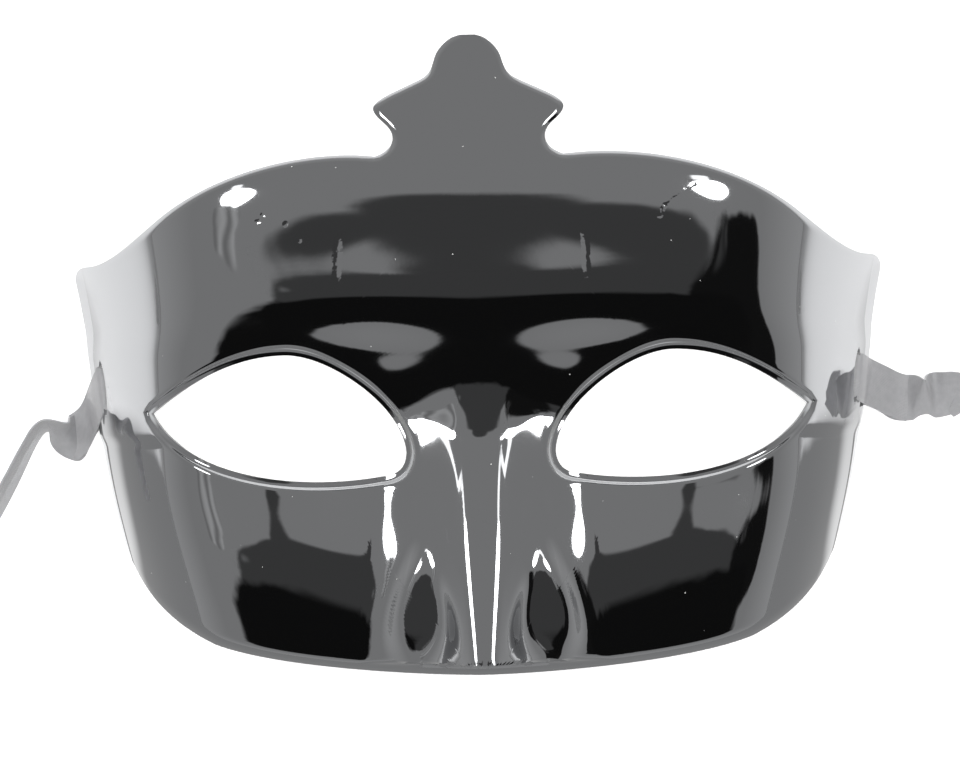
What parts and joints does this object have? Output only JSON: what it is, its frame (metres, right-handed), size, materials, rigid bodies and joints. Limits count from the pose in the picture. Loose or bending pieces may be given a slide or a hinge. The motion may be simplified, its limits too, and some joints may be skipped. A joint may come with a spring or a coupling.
{
  "type": "domino mask",
  "caption": "Mirror-finish moulded half mask with a trefoil crown, almond eye holes, a nose and a satin tie ribbon at each side.",
  "frame": {"origin": "bottom centre of the bounding box: on the surface the mask lies on, on its midline, halfway between the nose end and the crown top", "axes": "+X to the picture's right along the mask, +Y up the face towards the crown, +Z out of the face away from the surface it lies on"},
  "size_m": [0.214, 0.1318, 0.0573],
  "materials": {
    "metallized_plastic": "mirror, vacuum metallized thin plastic sheet",
    "satin_ribbon": "satin weave"
  },
  "bodies": {
    "root": {"mask_shell": "metallized_plastic", "ribbon_right": "satin_ribbon", "ribbon_left": "satin_ribbon"}
  },
  "joints": []
}
